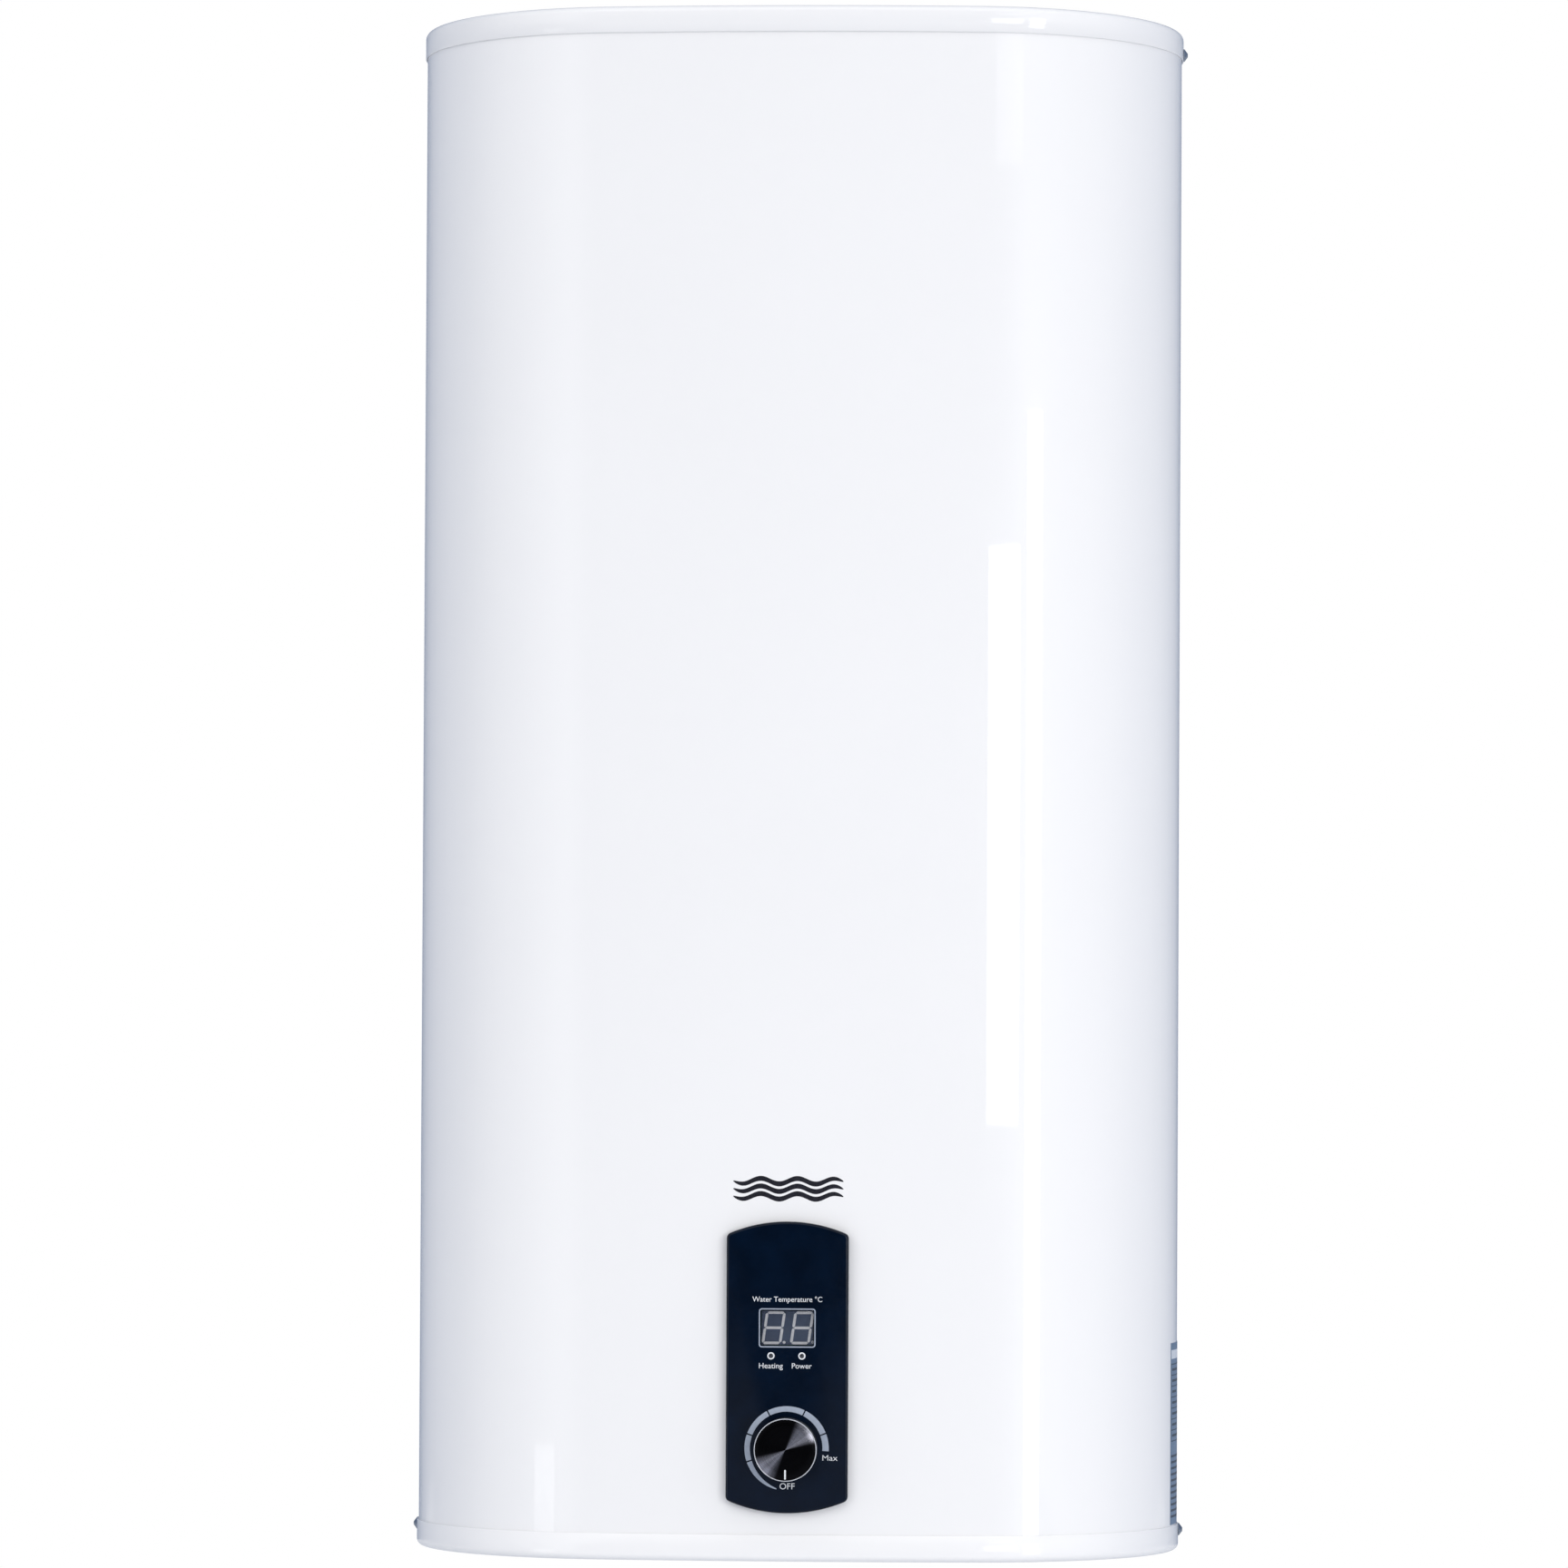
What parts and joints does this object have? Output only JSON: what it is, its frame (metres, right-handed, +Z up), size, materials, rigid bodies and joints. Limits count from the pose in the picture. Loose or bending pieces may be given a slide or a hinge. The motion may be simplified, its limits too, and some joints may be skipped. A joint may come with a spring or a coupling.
{
  "type": "tank water heater",
  "caption": "Flat wall-hung electric storage water heater with a rounded white casing, capped ends, a dark control panel with display and knob, water pipes below.",
  "frame": {"origin": "centre of the upper wall bracket's two slots, on the wall plane", "axes": "+Z up, +Y into the wall, +X towards the hot side; the control panel faces -Y"},
  "size_m": [0.4388, 0.286, 0.874],
  "materials": {
    "white_shell": "gloss white enamel on steel sheet",
    "white_cap": "gloss white, matched to the shell",
    "white_screws": "white painted pan heads",
    "zinc_steel": "zinc plated",
    "foam": "rigid polyurethane foam, cream",
    "grey_plastic": "moulded, satin",
    "label_film": "printed polyester film, grey-blue",
    "bracket_steel": "galvanised steel strip",
    "stainless": "rolled stainless sheet",
    "white_nylon": "moulded nylon",
    "blue_plastic": "moulded, blue",
    "red_plastic": "moulded, red",
    "black_gloss": "gloss navy-black moulding",
    "smoked_window": "smoked clear window",
    "display_dark": "dark display filter",
    "light_lens": "translucent lens",
    "circuit_board": "green solder mask",
    "brass": "turned",
    "black_knob": "satin black moulding",
    "spun_metal": "black anodised, spun finish",
    "bright_ring": "bright cut edge",
    "white_print": "white pad print",
    "relay_plastic": "moulded relay case, blue",
    "black_plastic": "moulded, black",
    "lead_cover": "silicone lead cover",
    "silicone": "silicone rubber",
    "element_sheath": "drawn sheath",
    "magnesium": "cast rod, dull",
    "copper": "drawn tube"
  },
  "bodies": {
    "heater": {"board_bracket": "bracket_steel", "board_screws": "zinc_steel", "bottom_cap": "white_cap", "bottom_cap_screws": "white_screws", "bracket_backing_plates": "bracket_steel", "bracket_bolts": "zinc_steel", "cable_gland": "black_plastic", "cold_diffuser": "white_nylon", "cold_inlet_pipe": "stainless", "cold_marker_ring": "blue_plastic", "control_board": "circuit_board", "control_harness": "black_plastic", "control_panel": "black_gloss", "display_module": "display_dark", "display_window": "smoked_window", "element_leads": "lead_cover", "flange_bolts": "zinc_steel", "foam_fill_plug": "grey_plastic", "foam_insulation": "foam", "gland_nut": "black_plastic", "hot_marker_ring": "red_plastic", "hot_outlet_pipe": "stainless", "indicator_lights": "light_lens", "left_anode_rod": "magnesium", "left_element_flange": "stainless", "left_flange_gasket": "silicone", "left_flange_neck": "stainless", "left_heating_element": "element_sheath", "left_sensor_probe": "copper", "left_tank": "stainless", "left_thermowell": "stainless", "lower_wall_bracket": "bracket_steel", "outer_shell": "white_shell", "potentiometer_body": "grey_plastic", "potentiometer_nut": "zinc_steel", "rating_plate": "label_film", "relay_board": "circuit_board", "relays": "relay_plastic", "right_anode_rod": "magnesium", "right_element_flange": "stainless", "right_flange_gasket": "silicone", "right_flange_neck": "stainless", "right_heating_element": "element_sheath", "right_sensor_probe": "copper", "right_tank": "stainless", "right_thermowell": "stainless", "service_cover": "white_cap", "service_cover_screws": "zinc_steel", "terminal_block": "white_nylon", "thermal_cutout": "black_plastic", "top_cap": "white_cap", "top_cap_screws": "white_screws", "transfer_pipes": "stainless", "upper_wall_bracket": "bracket_steel"},
    "knob": {"potentiometer_shaft": "brass", "knob_body": "black_knob", "knob_face": "spun_metal", "knob_trim_ring": "bright_ring", "knob_pointer": "white_print"},
    "reset_button": {"cutout_reset_button": "red_plastic"}
  },
  "joints": [
    {"name": "knob_turn", "type": "hinge", "parent": "heater", "child": "knob", "pos_m": [0, -0.278, -0.5871], "axis": [0, 1, 0], "range_deg": [0, 270]},
    {"name": "cutout_reset_press", "type": "slide", "parent": "heater", "child": "reset_button", "axis": [0, 0, 1], "range_m": [0, 0.0015], "stiffness_N_per_m": 2000, "springref_m": -0.001}
  ]
}
